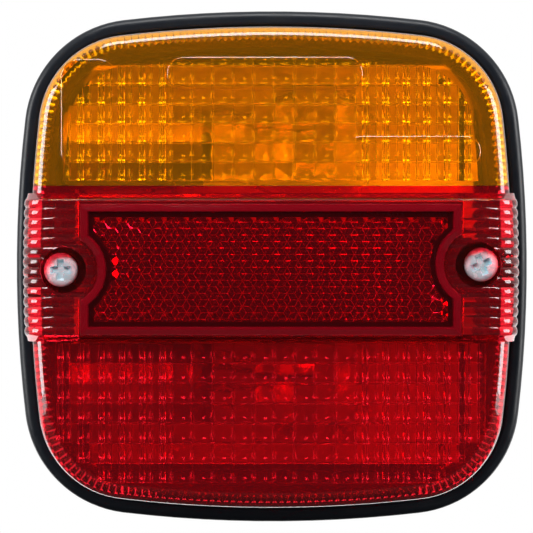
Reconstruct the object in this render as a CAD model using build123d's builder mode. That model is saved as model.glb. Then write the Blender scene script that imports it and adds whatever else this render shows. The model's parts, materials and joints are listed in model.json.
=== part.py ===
"""Square trailer tail light: amber indicator over red stop/tail, with a reflex reflector in the centre band.

Millimetres. The origin is at the middle of the mounting face. The lamp stands off a vertical panel:
+X is to the right and +Z is up as seen from in front, and the lens looks along -Y.
Depths are distances forward from the mounting face, so a depth d lies at y = -d.
"""

import os
from math import cos, pi, radians, sin, sqrt, tan

from build123d import *

# Outline of the lamp, seen from in front: a square with bowed sides and round corners
RIM_HALF = 50.0  # centre to the middle of a side, at the rubber rim
SIDE_RADIUS = 250.0  # bow of each side
CORNER_RADIUS = 22.0

# Depths, forward from the mounting face
GASKET_THICKNESS = 2.0
FLOOR_DEPTH = 4.5  # inside face of the base's floor
FLANGE_BACK = 10.0  # back of the base's flange
LEDGE_DEPTH = 14.0  # face that the rim seal lies on
SPIGOT_DEPTH = 19.0  # top of the wall that guides the lens skirt
BAFFLE_DEPTH = 35.0  # top of the light baffles between the two chambers
SEAT_DEPTH = 15.4  # face of the seal that the lens skirt presses on
BEAD_DEPTH = 18.3  # top of the rubber bead round the lens
LENS_DEPTH = 40.0  # amber and red faces
BAND_DEPTH = 43.0  # raised centre band
PANEL_DEPTH = 43.8  # border of the reflex reflector

# Insets from the rim's outline
BODY_INSET = 4.4  # outside of the base's tray
FLANGE_INSET = 0.8  # edge of the base's flange, inside the rubber
CAVITY_INSET = 7.3  # inside of the tray
SPIGOT_INSET = 6.2  # outside of the spigot
SEAL_INSET = 5.9  # inner edge of the sealing strip
BEAD_INSET = 2.8  # inside of the rubber bead
SKIRT_INSET = 3.55  # outside of the lens skirt
LIP_INSET = 3.2  # thin lip round the skirt's foot
BAND_INSET = 3.5  # ends of the centre band
GASKET_INSET = 6.5

# Lens
LENS_WALL = 2.2
LENS_TAPER = 2.5  # degrees of draft on the skirt
LENS_EDGE_RADIUS = 3.0
SEAM_Z = 15.4  # where amber meets red
SEAM_RIB = 1.4  # rib inside each lens along the seam
SEAM_RIB_DEPTH = 34.5
BAND_HALF = 14.0  # half the band's height
BAND_CHAMFER_Z = 1.3
BAND_END_RADIUS = 4.5
BAND_CEILING = 40.3  # inside face of the band's front wall
RIB_COUNT = 14  # scallops on each end of the band
RIB_PITCH = 1.86
RIB_RADIUS = 1.15
RIB_RISE = 0.35  # how far each scallop stands out
RIB_INNER_X = 33.0

# Reflex reflector panel in the band
PANEL_HALF_X = 35.6
PANEL_HIGH_Z = 11.8
PANEL_LOW_Z = -12.6
PANEL_NOTCH_RADIUS = 6.6  # clears the screw recesses
PANEL_BORDER = 1.8
PANEL_FIELD_DEPTH = 43.1  # face inside the border
WINDOW_GAP = 0.1
BACKING_THICKNESS = 1.4
BACKING_OVERLAP = 0.5
POCKET_OVERLAP = 0.6

# Lens screws and the recesses that hold their heads
RECESS_X = 38.9
SCREW_X = 39.7
SCREW_STAGGER = 0.5  # left one low, right one high
RECESS_RADIUS = 4.3
RECESS_FLOOR = 36.0
LENS_BOSS_RADIUS = 5.6
LENS_BOSS_FOOT = 31.0
SHANK_RADIUS = 1.75
SHANK_HOLE_RADIUS = 2.1
PILOT_RADIUS = 1.8
PILLAR_RADIUS = 3.2
PILLAR_TOP = 30.6
PILOT_FOOT = 18.0
ORING_THICKNESS = 1.0
HEAD_RADIUS = 3.2
HEAD_HEIGHT = 2.4
THREAD_PITCH = 1.25
THREAD_ROOT = 1.35
SCREW_TIP = 22.6
THREAD_TOP = 30.0

# Bulbs, lying along X, one in each chamber
BULB_Z = 23.0
BULB_DEPTH = 22.0
GLOBE_RADIUS = 12.5
NECK_RADIUS = 6.8
GLASS_WALL = 0.7
CAP_RADIUS = 7.5
CAP_WALL = 0.5
CAP_LENGTH = 17.0
PIN_FROM_CAP_END = 6.7
PIN_RADIUS = 1.0
PIN_TIP_RADIUS = 8.7
OFFSET_PIN = 3.0  # the twin-filament bulb's pins differ by this
LIGHT_CENTRE = 31.75  # pins to filament
CONTACT_RISE = 0.7
PLUNGE = 2.0  # how far a bulb pushes in

# Bayonet sockets
SOCKET_BACK = -39.2
SOCKET_FRONT = -18.6
SOCKET_OUTER = 8.2
SOCKET_INNER = 7.6
INSULATOR_THICKNESS = 1.2
SEAT_THICKNESS = 0.5
DISC_BACK = -33.2
DISC_THICKNESS = 1.6
DISC_RADIUS = 7.3
RIVET_RISE = 0.7
CAP_END = DISC_BACK + DISC_THICKNESS + RIVET_RISE + CONTACT_RISE
PIN_X = CAP_END + PIN_FROM_CAP_END
FILAMENT_X = PIN_X + LIGHT_CENTRE
TWIN_SPACING = 3.6  # contacts of the twin-filament bulb, either side of its axis
SLOT_WIDTH = 2.4
SLOT_TURN = 25.0  # degrees from the entry to the locked place
BRACKET_THICKNESS = 0.8
BRACKET_HALF = 7.0

# Reflectors behind the bulbs
TROUGH_RADIUS = 15.2
TROUGH_THICKNESS = 0.8
TROUGH_LEFT = -37.0
TROUGH_RIGHT = 40.0

# The channel between the baffles
BAFFLE_Z = 6.3
BAFFLE_THICKNESS = 1.2
BAFFLE_TAB_X = (-16.0, 30.0)  # tabs that hold the baffles in the floor
BAFFLE_TAB = 5.0
STUD_X = 25.0
STUD_RADIUS = 2.5
STUD_NECK_RADIUS = 2.8
STUD_LENGTH = 18.0
STUD_HEAD_RADIUS = 4.62
STUD_HEAD_HEIGHT = 3.5
STUD_WASHER = 1.0
GROMMET_X = 13.0
GROMMET_BORE = 3.5
GROMMET_NECK = 5.0
GROMMET_FLANGE = 5.6
GROMMET_BACK = 0.2
GROMMET_FRONT = 6.4

# Terminals and the strips that feed them
BLOCK_LEFT = -17.0
TERMINAL_PITCH = 5.4
TERMINAL_COUNT = 4
BLOCK_FOOT = 9.0
BLOCK_TOP = 22.0
BLOCK_HALF = 4.6
STRIP_THICKNESS = 0.5
STRIP_WIDTH = 2.6
STRIP_Z = 5.4  # middle of a strip that lies along a baffle
STRIP_COLUMN_X = SOCKET_BACK + INSULATOR_THICKNESS + SEAT_THICKNESS / 2

os.makedirs("parts", exist_ok=True)


def front_plane(depth):
    """The plane that faces the viewer at a depth, with sketch x along +X and sketch y along +Z."""
    return Plane.XZ.offset(depth)


def bowed_square(inset):
    """The lamp's outline, drawn in by inset."""
    half = RIM_HALF - inset
    side_radius = SIDE_RADIUS - inset
    centre_shift = side_radius - half
    corner = (sqrt(2 * side_radius**2 - centre_shift**2) - centre_shift) / 2
    with BuildSketch() as outline:
        with BuildLine():
            for quarter in range(4):
                points = [Vector(corner, -corner), Vector(half, 0), Vector(corner, corner)]
                ThreePointArc(*[point.rotate(Axis.Z, 90 * quarter) for point in points])
        make_face()
        fillet(outline.vertices(), CORNER_RADIUS - inset)
    return outline.sketch


def prism(inset, low, high, taper=0.0):
    """The lamp's outline extruded from one depth to another."""
    with BuildPart() as made:
        with BuildSketch(front_plane(low)):
            add(bowed_square(inset))
        extrude(amount=high - low, taper=taper)
    return made.part


def ring(outer_inset, inner_inset, low, high):
    """A solid band between two insets of the lamp's outline."""
    with BuildPart() as made:
        add(prism(outer_inset, low, high))
        add(prism(inner_inset, low, high), mode=Mode.SUBTRACT)
    return made.part


def block(x_range, depth_range, z_range):
    """A private box between two X, two depths and two Z."""
    size = [x_range[1] - x_range[0], depth_range[1] - depth_range[0], z_range[1] - z_range[0]]
    middle = (sum(x_range) / 2, -sum(depth_range) / 2, sum(z_range) / 2)
    return Pos(*middle) * Box(*size, mode=Mode.PRIVATE)


def round_bar(x, z, radius, low, high):
    """A private cylinder along the depth axis, between two depths."""
    bar = Cylinder(radius, high - low, rotation=(90, 0, 0), mode=Mode.PRIVATE)
    return Pos(x, -(low + high) / 2, z) * bar


def lying_bar(axis_z, radius, left, right, depth=BULB_DEPTH):
    """A private cylinder along X."""
    bar = Cylinder(radius, right - left, rotation=(0, 90, 0), mode=Mode.PRIVATE)
    return Pos((left + right) / 2, -depth, axis_z) * bar


def save(part, label):
    """Labels a finished piece and writes it as its own STEP file."""
    part.label = label
    export_step(part, f"parts/{label}.step")


def staggered(side):
    """Height of the screw on a side, -1 for the left and 1 for the right."""
    return side * SCREW_STAGGER


# --- Base: a moulded tray that screws to the vehicle and carries everything else ---------------------

SOCKET_SIDES = {"indicator": 1, "tail": -1}  # above and below the centre band

with BuildPart() as base_housing:
    add(prism(BODY_INSET, GASKET_THICKNESS, LEDGE_DEPTH))
    back_edges = base_housing.faces().sort_by(Axis.Y)[-1].edges()
    fillet(back_edges, 1.5)
    add(ring(FLANGE_INSET, CAVITY_INSET, FLANGE_BACK, LEDGE_DEPTH))
    add(prism(CAVITY_INSET, FLOOR_DEPTH, LEDGE_DEPTH), mode=Mode.SUBTRACT)
    add(ring(SPIGOT_INSET, CAVITY_INSET, LEDGE_DEPTH, SPIGOT_DEPTH))
    for side in (-1, 1):
        # Pillar for a lens screw
        add(round_bar(side * SCREW_X, staggered(side), PILLAR_RADIUS, FLOOR_DEPTH, PILLAR_TOP))
        pilot = round_bar(side * SCREW_X, staggered(side), PILOT_RADIUS, PILOT_FOOT, PILLAR_TOP + 1)
        add(pilot, mode=Mode.SUBTRACT)
        add(round_bar(side * STUD_X, 0, STUD_NECK_RADIUS + 0.05, 0, FLOOR_DEPTH + 1), mode=Mode.SUBTRACT)
        # Slots for the tabs of the light baffles
        for tab_x in BAFFLE_TAB_X:
            slot_x = (tab_x - BAFFLE_TAB / 2 - 0.1, tab_x + BAFFLE_TAB / 2 + 0.1)
            slot_z = sorted(side * (BAFFLE_Z + half * (BAFFLE_THICKNESS / 2 + 0.1)) for half in (-1, 1))
            add(block(slot_x, (0, FLOOR_DEPTH + 1), slot_z), mode=Mode.SUBTRACT)
    # Posts under the terminal block
    for post_x in (BLOCK_LEFT + 3, BLOCK_LEFT + TERMINAL_COUNT * TERMINAL_PITCH - 3):
        add(round_bar(post_x, 0, 3.0, FLOOR_DEPTH, BLOCK_FOOT))
    # Cable hole
    add(round_bar(GROMMET_X, 0, GROMMET_NECK, 0, FLOOR_DEPTH + 1), mode=Mode.SUBTRACT)
    # Rivet holes for the socket brackets
    for sign in SOCKET_SIDES.values():
        for rivet_x in (-34.0, -26.0):
            add(round_bar(rivet_x, sign * BULB_Z, 1.25, 0, FLOOR_DEPTH + 1), mode=Mode.SUBTRACT)
    # Drain holes through the bottom wall
    with Locations((-20, -(FLOOR_DEPTH + 2.5), -RIM_HALF), (20, -(FLOOR_DEPTH + 2.5), -RIM_HALF)):
        Cylinder(1.5, 30, mode=Mode.SUBTRACT)
save(base_housing.part, "base_housing")

with BuildPart() as light_baffles:
    for side in (-1, 1):
        wall_z = sorted(side * (BAFFLE_Z + half * BAFFLE_THICKNESS / 2) for half in (-1, 1))
        # Full width low down, narrower above the pillars
        add(block((-42.0, 42.0), (FLOOR_DEPTH, SPIGOT_DEPTH), wall_z))
        add(block((-36.5, 36.5), (SPIGOT_DEPTH, BAFFLE_DEPTH), wall_z))
        for tab_x in BAFFLE_TAB_X:
            tab_reach = (tab_x - BAFFLE_TAB / 2, tab_x + BAFFLE_TAB / 2)
            add(block(tab_reach, (GASKET_THICKNESS, FLOOR_DEPTH), wall_z))
        # Gaps for the strips that leave the sockets, and for the earth strip on the floor
        gap_z = sorted((side * (BAFFLE_Z - BAFFLE_THICKNESS), side * (BAFFLE_Z + BAFFLE_THICKNESS)))
        add(block((-38.6, -36.9), (16.5, BAFFLE_DEPTH + 1), gap_z), mode=Mode.SUBTRACT)
        add(block((-35.3, -31.1), (FLOOR_DEPTH, FLOOR_DEPTH + 0.9), gap_z), mode=Mode.SUBTRACT)
save(light_baffles.part, "light_baffles")

with BuildPart() as mounting_gasket:
    add(prism(GASKET_INSET, 0, GASKET_THICKNESS))
    for side in (-1, 1):
        hole = round_bar(side * STUD_X, 0, STUD_NECK_RADIUS + 0.3, -1, GASKET_THICKNESS + 1)
        add(hole, mode=Mode.SUBTRACT)
    add(round_bar(GROMMET_X, 0, GROMMET_FLANGE + 1.2, -1, GASKET_THICKNESS + 1), mode=Mode.SUBTRACT)
    for sign in SOCKET_SIDES.values():
        for rivet_x in (-34.0, -26.0):
            add(round_bar(rivet_x, sign * BULB_Z, 2.6, -1, GASKET_THICKNESS + 1), mode=Mode.SUBTRACT)
save(mounting_gasket.part, "mounting_gasket")

with BuildPart() as rim_seal:
    add(prism(0, 8.6, BEAD_DEPTH))
    fillet(rim_seal.faces().sort_by(Axis.Y)[0].edges(), 1.5)
    fillet(rim_seal.faces().sort_by(Axis.Y)[-1].edges(), 0.8)
    add(prism(BEAD_INSET, SEAT_DEPTH, BEAD_DEPTH), mode=Mode.SUBTRACT)
    fillet(rim_seal.faces().sort_by(Axis.Y)[0].inner_wires()[0].edges(), 0.7)
    add(prism(SEAL_INSET, LEDGE_DEPTH, SEAT_DEPTH), mode=Mode.SUBTRACT)
    add(prism(FLANGE_INSET, FLANGE_BACK, LEDGE_DEPTH), mode=Mode.SUBTRACT)
    add(prism(BEAD_INSET + 0.5, 8, FLANGE_BACK), mode=Mode.SUBTRACT)
save(rim_seal.part, "rim_seal")

with BuildPart() as cable_grommet:
    with BuildSketch(Plane.XY):
        with BuildLine():
            Polyline(
                (GROMMET_BORE, -GROMMET_FRONT),
                (GROMMET_FLANGE - 0.8, -GROMMET_FRONT),
                (GROMMET_FLANGE, -(GROMMET_FRONT - 0.8)),
                (GROMMET_FLANGE, -FLOOR_DEPTH),
                (GROMMET_NECK, -FLOOR_DEPTH),
                (GROMMET_NECK, -GASKET_THICKNESS),
                (GROMMET_FLANGE, -GASKET_THICKNESS),
                (GROMMET_FLANGE, -GROMMET_BACK),
                (GROMMET_BORE, -GROMMET_BACK),
                close=True,
            )
        make_face()
    revolve(axis=Axis.Y)
cable_grommet.part.position = (GROMMET_X, 0, 0)
save(cable_grommet.part, "cable_grommet")

with BuildPart() as mounting_bolts:
    for side in (-1, 1):
        head_low = FLOOR_DEPTH + STUD_WASHER
        with BuildSketch(front_plane(head_low)):
            with Locations((side * STUD_X, 0)):
                RegularPolygon(STUD_HEAD_RADIUS, 6, rotation=30)
        extrude(amount=STUD_HEAD_HEIGHT)
        add(round_bar(side * STUD_X, 0, STUD_NECK_RADIUS, 0, head_low))
        add(round_bar(side * STUD_X, 0, STUD_RADIUS, -STUD_LENGTH, 0))
    chamfer(mounting_bolts.faces().sort_by(Axis.Y)[-2:].edges(), 0.5)
save(mounting_bolts.part, "mounting_bolts")

with BuildPart() as bolt_seals:
    for side in (-1, 1):
        add(round_bar(side * STUD_X, 0, STUD_HEAD_RADIUS, FLOOR_DEPTH, FLOOR_DEPTH + STUD_WASHER))
        hole = round_bar(side * STUD_X, 0, STUD_NECK_RADIUS + 0.05, FLOOR_DEPTH - 1, FLOOR_DEPTH + 3)
        add(hole, mode=Mode.SUBTRACT)
save(bolt_seals.part, "bolt_seals")


# --- Reflectors: a bright trough behind each bulb ---------------------------------------------------

for name, sign in (("upper_reflector", 1), ("lower_reflector", -1)):
    with BuildPart() as reflector:
        with BuildSketch(Plane.YZ.offset(TROUGH_LEFT)):
            with Locations((-BULB_DEPTH, sign * BULB_Z)):
                Circle(TROUGH_RADIUS + TROUGH_THICKNESS)
                Circle(TROUGH_RADIUS, mode=Mode.SUBTRACT)
            with Locations((-BULB_DEPTH - 20, sign * BULB_Z)):
                Rectangle(40, 60, mode=Mode.SUBTRACT)
        extrude(amount=TROUGH_RIGHT - TROUGH_LEFT)
        add(prism(CAVITY_INSET + 0.3, FLOOR_DEPTH, BULB_DEPTH), mode=Mode.INTERSECT)
    save(reflector.part, name)


# --- Terminal block and the strips that lead to it --------------------------------------------------

BLOCK_RIGHT = BLOCK_LEFT + TERMINAL_COUNT * TERMINAL_PITCH
TERMINAL_X = [BLOCK_LEFT + TERMINAL_PITCH * (number + 0.5) for number in range(TERMINAL_COUNT)]
TAB_TOP = BLOCK_TOP + STRIP_THICKNESS

with BuildPart() as terminal_block:
    add(block((BLOCK_LEFT, BLOCK_RIGHT), (BLOCK_FOOT, BLOCK_TOP), (-BLOCK_HALF, BLOCK_HALF)))
    for number in range(1, TERMINAL_COUNT):
        wall_x = BLOCK_LEFT + number * TERMINAL_PITCH
        add(block((wall_x - 0.35, wall_x + 0.35), (BLOCK_TOP, BLOCK_TOP + 2.5), (-BLOCK_HALF, BLOCK_HALF)))
    for x in TERMINAL_X:
        add(round_bar(x, 0, 1.25, BLOCK_TOP - 7, BLOCK_TOP + 1), mode=Mode.SUBTRACT)
save(terminal_block.part, "terminal_block")

with BuildPart() as terminal_screws:
    for x in TERMINAL_X:
        add(round_bar(x, 0, 1.25, BLOCK_TOP - 6.5, TAB_TOP))
        add(round_bar(x, 0, 2.1, TAB_TOP, TAB_TOP + 1.6))
        add(block((x - 2.5, x + 2.5), (TAB_TOP + 0.9, TAB_TOP + 2), (-0.3, 0.3)), mode=Mode.SUBTRACT)
save(terminal_screws.part, "terminal_screws")


def terminal_tab(x, side):
    """The end of a strip, bent over the block's top under a terminal screw."""
    wall = sorted((side * (STRIP_Z - STRIP_THICKNESS / 2), side * (STRIP_Z + STRIP_THICKNESS / 2)))
    reach = sorted((-side * 2.2, side * (STRIP_Z + STRIP_THICKNESS / 2)))
    with BuildPart(mode=Mode.PRIVATE) as tab:
        add(block((x - 2.2, x + 2.2), (BLOCK_TOP, TAB_TOP), reach))
        add(round_bar(x, 0, 1.25, BLOCK_TOP - 1, TAB_TOP + 1), mode=Mode.SUBTRACT)
    return tab.part, wall


def feed_strip(label, side, seat_depth, terminal):
    """A brass strip from a spring's seat, out of the socket, along the baffle and over to a terminal."""
    x = TERMINAL_X[terminal]
    half = STRIP_WIDTH / 2
    tab, wall = terminal_tab(x, side)
    column = (STRIP_COLUMN_X - SEAT_THICKNESS / 2, STRIP_COLUMN_X + SEAT_THICKNESS / 2)
    run = (seat_depth - half, seat_depth + half)
    with BuildPart() as strip:
        add(lying_bar(side * BULB_Z, 2.4, *column, depth=seat_depth))
        add(block(column, run, sorted((side * (STRIP_Z - STRIP_THICKNESS / 2), side * BULB_Z))))
        add(block((column[0], x + half), run, wall))
        add(block((x - half, x + half), (min(run[0], BLOCK_TOP), max(run[1], TAB_TOP)), wall))
        add(tab)
    save(strip.part, label)


feed_strip("indicator_feed_strip", 1, BULB_DEPTH, 0)
feed_strip("tail_feed_strip", -1, BULB_DEPTH - TWIN_SPACING, 1)
feed_strip("stop_feed_strip", -1, BULB_DEPTH + TWIN_SPACING, 2)

with BuildPart() as earth_strip:
    earth_tab, earth_wall = terminal_tab(TERMINAL_X[3], 1)
    earth_x = (-34.9, -31.5)
    bracket_foot = BULB_Z - BRACKET_HALF
    add(block(earth_x, (FLOOR_DEPTH, FLOOR_DEPTH + STRIP_THICKNESS), (-bracket_foot, bracket_foot)))
    add(block(earth_x, (FLOOR_DEPTH, 12.6), earth_wall))
    add(block((earth_x[0], TERMINAL_X[3] + 1.3), (10.0, 12.6), earth_wall))
    add(block((TERMINAL_X[3] - 1.3, TERMINAL_X[3] + 1.3), (10.0, TAB_TOP), earth_wall))
    add(earth_tab)
save(earth_strip.part, "earth_strip")

with BuildPart() as bracket_rivets:
    for sign in SOCKET_SIDES.values():
        for rivet_x in (-34.0, -26.0):
            foot_top = FLOOR_DEPTH + BRACKET_THICKNESS
            add(round_bar(rivet_x, sign * BULB_Z, 1.25, GASKET_THICKNESS, foot_top))
            add(round_bar(rivet_x, sign * BULB_Z, 2.2, foot_top, foot_top + 0.55))
            add(round_bar(rivet_x, sign * BULB_Z, 2.2, GASKET_THICKNESS - 0.6, GASKET_THICKNESS))
save(bracket_rivets.part, "bracket_rivets")


# --- Bayonet sockets ----------------------------------------------------------------------------------


def pin_slot(axis_z, up, pin_x, turn):
    """The J-shaped slot for one pin: entry, track and the notch that the pin rests in, as a cutter."""
    radial_low, radial_high = SOCKET_INNER - 1.5, SOCKET_OUTER + 2.5
    half = SLOT_WIDTH / 2
    track = (pin_x - PLUNGE - half, pin_x - PLUNGE + half)
    axis = Axis((0, -BULB_DEPTH, axis_z), (1, 0, 0))
    with BuildPart(mode=Mode.PRIVATE) as cutter:
        add(block(
            (track[0], pin_x + PIN_RADIUS + 0.1),
            (BULB_DEPTH - half, BULB_DEPTH + half),
            sorted((axis_z + up * radial_low, axis_z + up * radial_high)),
        ))
        with BuildSketch(Plane.XZ.offset(BULB_DEPTH)):
            with Locations(((track[0] + track[1]) / 2, axis_z + up * (radial_low + radial_high) / 2)):
                Rectangle(track[1] - track[0], radial_high - radial_low)
        revolve(axis=axis, revolution_arc=turn)
        entry = block(
            (track[0], SOCKET_FRONT + 1),
            (BULB_DEPTH - half, BULB_DEPTH + half),
            sorted((axis_z + up * radial_low, axis_z + up * radial_high)),
        )
        add(entry.rotate(axis, turn))
    return cutter.part


def socket_parts(name, sign, pin_xs, seat_depths):
    """One bayonet socket: shell, bracket, insulator, springs, and the sprung contact disc."""
    axis_z = sign * BULB_Z
    insulator_front = SOCKET_BACK + INSULATOR_THICKNESS
    with BuildPart() as socket:
        add(lying_bar(axis_z, SOCKET_OUTER, SOCKET_BACK, SOCKET_FRONT))
        add(lying_bar(axis_z, SOCKET_OUTER + 0.7, SOCKET_FRONT - 0.8, SOCKET_FRONT))
        add(lying_bar(axis_z, SOCKET_INNER, SOCKET_BACK - 1, SOCKET_FRONT + 1), mode=Mode.SUBTRACT)
        for up, pin_x in zip((1, -1), pin_xs):
            add(pin_slot(axis_z, up, pin_x, SLOT_TURN), mode=Mode.SUBTRACT)
        depths = (min(seat_depths) - STRIP_WIDTH / 2 - 0.4, max(seat_depths) + STRIP_WIDTH / 2 + 0.4)
        side_z = sorted((axis_z - sign * 5, axis_z - sign * 10))
        add(block((SOCKET_BACK - 1, insulator_front + 1.2), depths, side_z), mode=Mode.SUBTRACT)
    save(socket.part, f"{name}_socket")

    with BuildPart() as bracket:
        back = SOCKET_BACK - BRACKET_THICKNESS
        wide = (axis_z - BRACKET_HALF, axis_z + BRACKET_HALF)
        add(block((back, SOCKET_BACK), (FLOOR_DEPTH, BULB_DEPTH), wide))
        add(lying_bar(axis_z, BRACKET_HALF, back, SOCKET_BACK))
        add(block((back, -22.5), (FLOOR_DEPTH, FLOOR_DEPTH + BRACKET_THICKNESS), wide))
        for rivet_x in (-34.0, -26.0):
            add(round_bar(rivet_x, axis_z, 1.25, 4, 6), mode=Mode.SUBTRACT)
    save(bracket.part, f"{name}_bracket")

    with BuildPart() as insulator:
        add(lying_bar(axis_z, SOCKET_INNER - 0.1, SOCKET_BACK, insulator_front))
    save(insulator.part, f"{name}_end_insulator")

    spring_back = insulator_front + SEAT_THICKNESS
    turns = 3.0
    wire = 0.3
    with BuildPart() as springs:
        for seat_depth in seat_depths:
            coil_radius = 1.35 if len(seat_depths) > 1 else 1.9
            height = DISC_BACK - spring_back - 2 * wire
            foot = (spring_back + wire, -seat_depth, axis_z)
            with BuildLine() as path:
                Helix(height / turns, height, coil_radius, center=foot, direction=(1, 0, 0))
            with BuildSketch(Plane(origin=path.line @ 0, z_dir=path.line % 0)):
                Circle(wire)
            sweep(path=path.line, is_frenet=True)
    save(springs.part, f"{name}_contact_springs")

    disc_front = DISC_BACK + DISC_THICKNESS
    rivet_radius = 1.5 if len(seat_depths) > 1 else 2.0
    with BuildPart() as disc:
        add(lying_bar(axis_z, DISC_RADIUS, DISC_BACK, disc_front))
        for seat_depth in seat_depths:
            add(lying_bar(axis_z, 0.9, DISC_BACK - 1, disc_front + 1, depth=seat_depth), mode=Mode.SUBTRACT)
    save(disc.part, f"{name}_contact_disc")

    with BuildPart() as rivets:
        for seat_depth in seat_depths:
            add(lying_bar(axis_z, 0.9, DISC_BACK, disc_front, depth=seat_depth))
            add(lying_bar(axis_z, rivet_radius, disc_front, disc_front + RIVET_RISE, depth=seat_depth))
    save(rivets.part, f"{name}_contact_rivets")


# --- Bulbs ------------------------------------------------------------------------------------------


def glass_profile(shrink):
    """Half the envelope's section, radius against X; shrunk by the wall it is the hollow inside."""
    globe = GLOBE_RADIUS - shrink
    neck = NECK_RADIUS - shrink
    mouth = CAP_END + CAP_LENGTH - 6
    shoulder = CAP_END + CAP_LENGTH + 2.5
    meet = radians(128)
    meet_point = (FILAMENT_X + globe * cos(meet), globe * sin(meet))
    with BuildSketch() as section:
        with BuildLine():
            Line((mouth, 0), (mouth, neck))
            Line((mouth, neck), (shoulder, neck))
            Spline(
                (shoulder, neck),
                meet_point,
                tangents=((1, 0), (sin(meet), -cos(meet))),
            )
            ThreePointArc(
                meet_point,
                (FILAMENT_X + globe * cos(pi / 4), globe * sin(pi / 4)),
                (FILAMENT_X + globe, 0),
            )
            Line((FILAMENT_X + globe, 0), (mouth, 0))
        make_face()
    return section.sketch


def bulb_parts(name, sign, pin_xs, contact_depths, filament_xs):
    """One bayonet bulb: glass, cap with pins, insulator, solder contacts and filaments."""
    axis_z = sign * BULB_Z
    bulb_plane = Plane((0, -BULB_DEPTH, axis_z), x_dir=(1, 0, 0), z_dir=(0, -1, 0))
    axis = Axis((0, -BULB_DEPTH, axis_z), (1, 0, 0))
    cap_front = CAP_END + CAP_LENGTH

    with BuildPart() as glass:
        with BuildSketch(bulb_plane):
            add(glass_profile(0))
        revolve(axis=axis)
        with BuildSketch(bulb_plane):
            add(glass_profile(GLASS_WALL))
        revolve(axis=axis, mode=Mode.SUBTRACT)
    save(glass.part, f"{name}_bulb_glass")

    with BuildPart() as cap:
        add(lying_bar(axis_z, CAP_RADIUS, CAP_END, cap_front))
        fillet(cap.faces().sort_by(Axis.X)[0].edges(), 0.8)
        add(lying_bar(axis_z, CAP_RADIUS - CAP_WALL, CAP_END - 1, cap_front + 1), mode=Mode.SUBTRACT)
        for up, pin_x in zip((1, -1), pin_xs):
            pin = Cylinder(PIN_RADIUS, PIN_TIP_RADIUS - CAP_RADIUS + 0.3, mode=Mode.PRIVATE)
            add(Pos(pin_x, -BULB_DEPTH, axis_z + up * (PIN_TIP_RADIUS + CAP_RADIUS - 0.3) / 2) * pin)
    save(cap.part, f"{name}_bulb_cap")

    with BuildPart() as insulator:
        add(lying_bar(axis_z, CAP_RADIUS - CAP_WALL, CAP_END, CAP_END + 2.5))
        for depth in contact_depths:
            add(lying_bar(axis_z, 0.8, CAP_END - 1, CAP_END + 3, depth=depth), mode=Mode.SUBTRACT)
    save(insulator.part, f"{name}_bulb_insulator")

    with BuildPart() as contacts:
        for depth in contact_depths:
            contact_radius = 1.5 if len(contact_depths) > 1 else 2.2
            add(lying_bar(axis_z, contact_radius, CAP_END - CONTACT_RISE, CAP_END, depth=depth))
            add(lying_bar(axis_z, 0.8, CAP_END, CAP_END + 2.5, depth=depth))
        tips = contacts.faces().filter_by(GeomType.PLANE).sort_by(Axis.X)[: len(contact_depths)]
        chamfer(tips.edges(), 0.3)
    save(contacts.part, f"{name}_bulb_contacts")

    with BuildPart() as filament:
        for filament_x, offset in filament_xs:
            half = 2.6
            stem = CAP_END + 2.5
            depth = BULB_DEPTH + offset
            for up in (-1, 1):
                add(lying_bar(axis_z + up * half, 0.25, stem, filament_x, depth=depth))
            coil = Cylinder(0.45, 2 * half + 0.5, mode=Mode.PRIVATE)
            add(Pos(filament_x, -depth, axis_z) * coil)
        bead_x = CAP_END + CAP_LENGTH - 1
        bead_depths = [BULB_DEPTH + offset for _, offset in filament_xs]
        add(block((bead_x, bead_x + 2), (min(bead_depths) - 1, max(bead_depths) + 1),
                  (axis_z - 3.4, axis_z + 3.4)))
    save(filament.part, f"{name}_bulb_filament")


single_pins = (PIN_X, PIN_X)
twin_pins = (PIN_X, PIN_X - OFFSET_PIN)
twin_depths = (BULB_DEPTH - TWIN_SPACING, BULB_DEPTH + TWIN_SPACING)
socket_parts("indicator", SOCKET_SIDES["indicator"], single_pins, (BULB_DEPTH,))
bulb_parts("indicator", SOCKET_SIDES["indicator"], single_pins, (BULB_DEPTH,), ((FILAMENT_X, 0),))
socket_parts("tail", SOCKET_SIDES["tail"], twin_pins, twin_depths)
bulb_parts("tail", SOCKET_SIDES["tail"], twin_pins, twin_depths, ((FILAMENT_X, -1.3), (FILAMENT_X - 3, 1.7)))


# --- Lens: amber over red, with a raised centre band that holds the reflex reflector --------------------


def panel_outline(grow):
    """The reflector's outline: a rectangle with a round bite at each end for the screw recess."""
    middle_z = (PANEL_HIGH_Z + PANEL_LOW_Z) / 2
    with BuildSketch() as outline:
        with Locations((0, middle_z)):
            Rectangle(2 * (PANEL_HALF_X + grow), PANEL_HIGH_Z - PANEL_LOW_Z + 2 * grow)
        with Locations((-RECESS_X, staggered(-1)), (RECESS_X, staggered(1))):
            Circle(PANEL_NOTCH_RADIUS - grow, mode=Mode.SUBTRACT)
    return outline.sketch


def band_rib(side, number):
    """One scallop of the band: along the front, round the edge and down the side."""
    z = (number - (RIB_COUNT - 1) / 2) * RIB_PITCH
    outer = RIM_HALF - BAND_INSET - z * z / (2 * SIDE_RADIUS) - RIB_RADIUS + RIB_RISE
    front = BAND_DEPTH - RIB_RADIUS + RIB_RISE
    with BuildPart(mode=Mode.PRIVATE) as rib:
        with BuildLine(Plane((0, 0, z), x_dir=(1, 0, 0), z_dir=(0, 0, 1))) as path:
            FilletPolyline(
                (side * RIB_INNER_X, -front),
                (side * outer, -front),
                (side * outer, -(BEAD_DEPTH + RIB_RADIUS + 0.5)),
                radius=BAND_END_RADIUS - RIB_RADIUS + RIB_RISE,
            )
        with BuildSketch(Plane(origin=path.line @ 0, z_dir=path.line % 0)):
            Circle(RIB_RADIUS)
        sweep(path=path.line)
    return rib.part


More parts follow.
